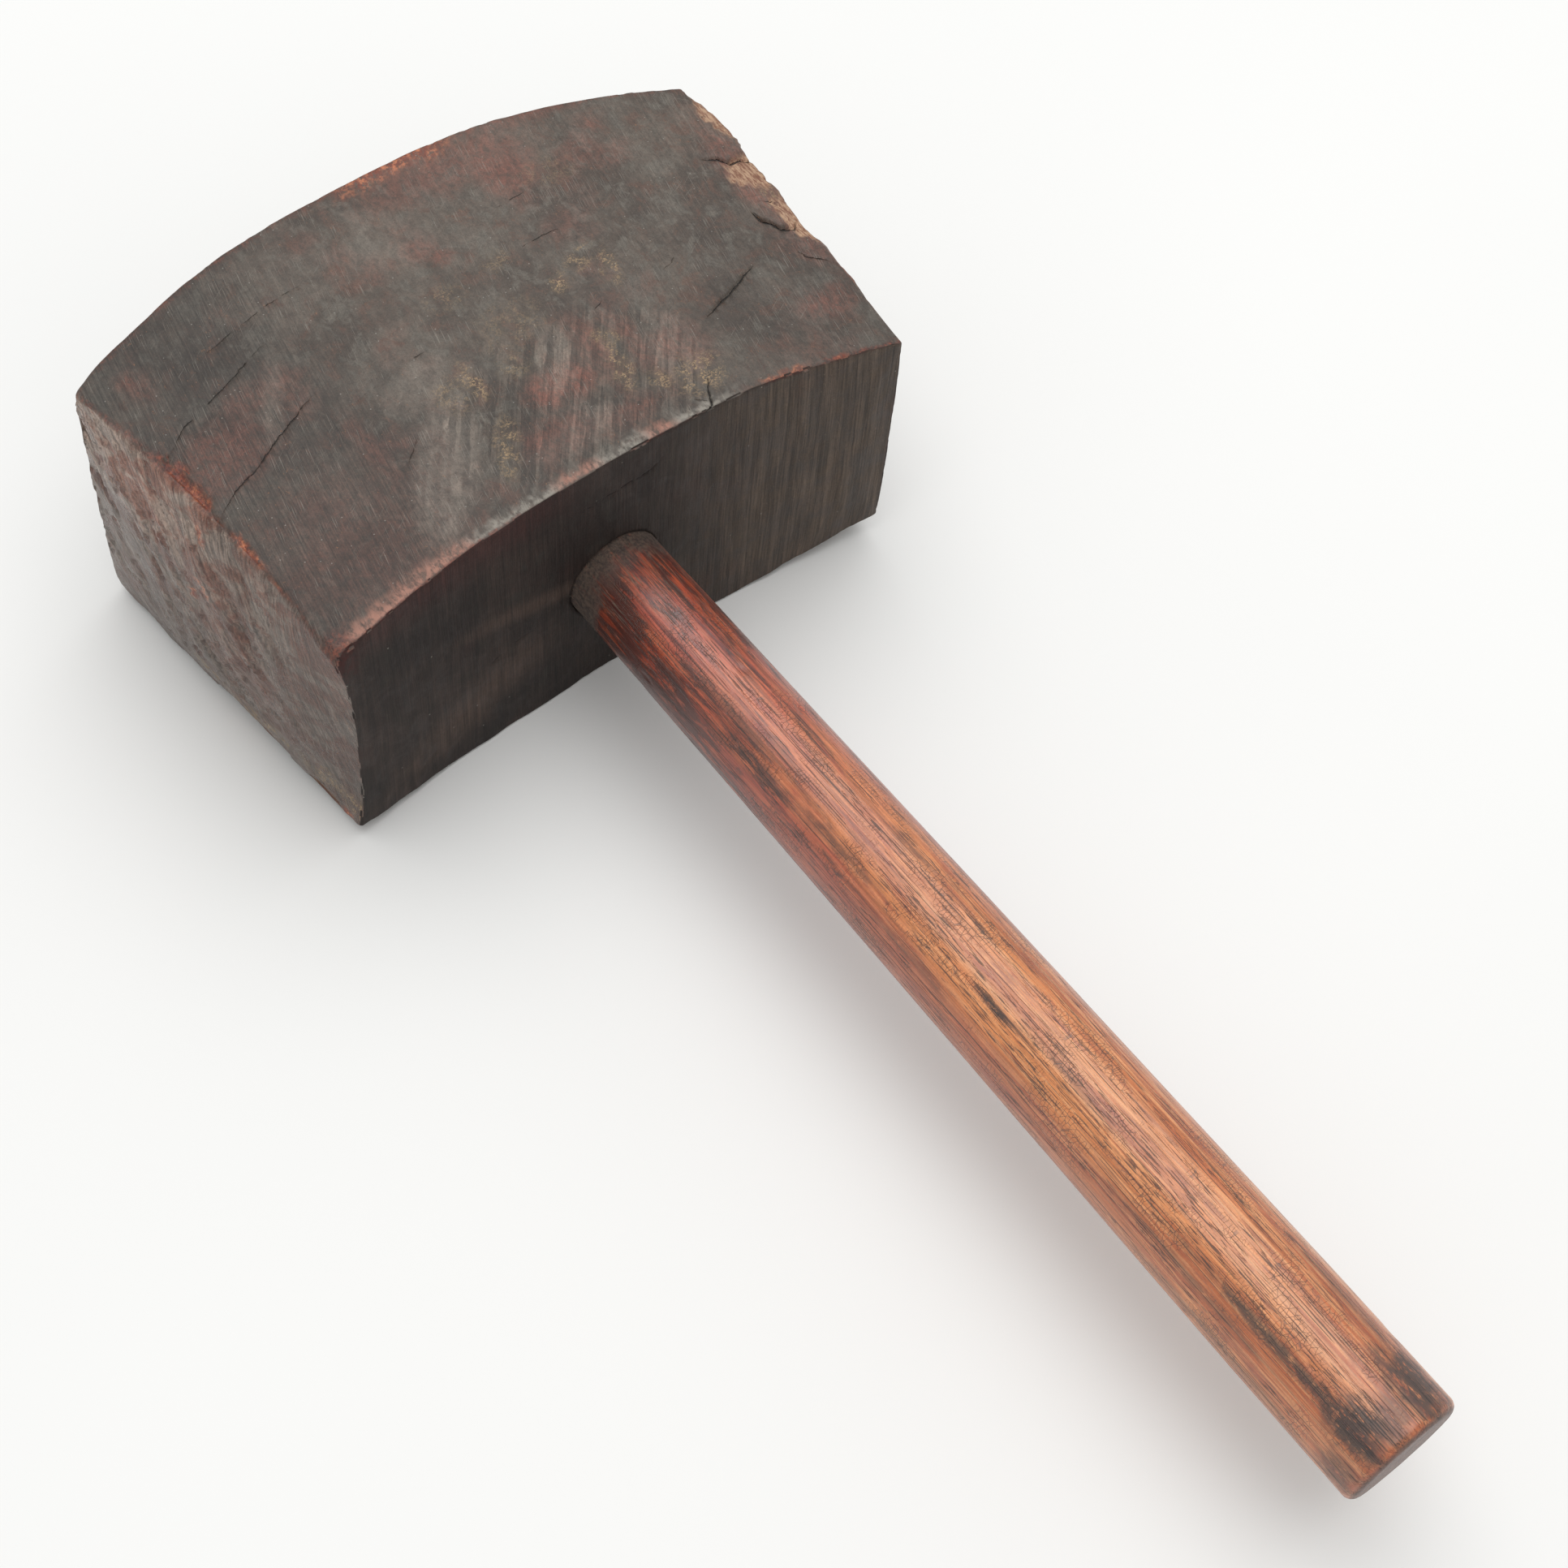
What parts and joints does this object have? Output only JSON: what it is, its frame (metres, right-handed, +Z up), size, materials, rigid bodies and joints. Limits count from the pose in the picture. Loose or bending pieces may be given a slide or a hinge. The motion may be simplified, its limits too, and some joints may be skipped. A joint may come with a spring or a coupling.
{
  "type": "wooden mallet",
  "caption": "Large carpenter's mallet with an arched, worn block head on a round tapered handle, wedged at the crown and lying on one cheek.",
  "frame": {"origin": "middle of the flat on the lower cheek, which the mallet rests on, level with the middle of the head's height", "axes": "+Z up through the two cheeks, +X along the head from one striking face to the other, handle towards -Y and crown towards +Y"},
  "size_m": [0.2106, 0.4489, 0.0975],
  "materials": {
    "head_wood": "dark grey-brown patina, worn and satin, bare red-brown wood at the edges",
    "handle_wood": "red-brown ring-porous wood, polished by handling, dark stains near the butt",
    "wedge_wood": "dull brown end grain"
  },
  "bodies": {
    "root": {"head": "head_wood", "handle": "handle_wood", "wedge": "wedge_wood"}
  },
  "joints": []
}
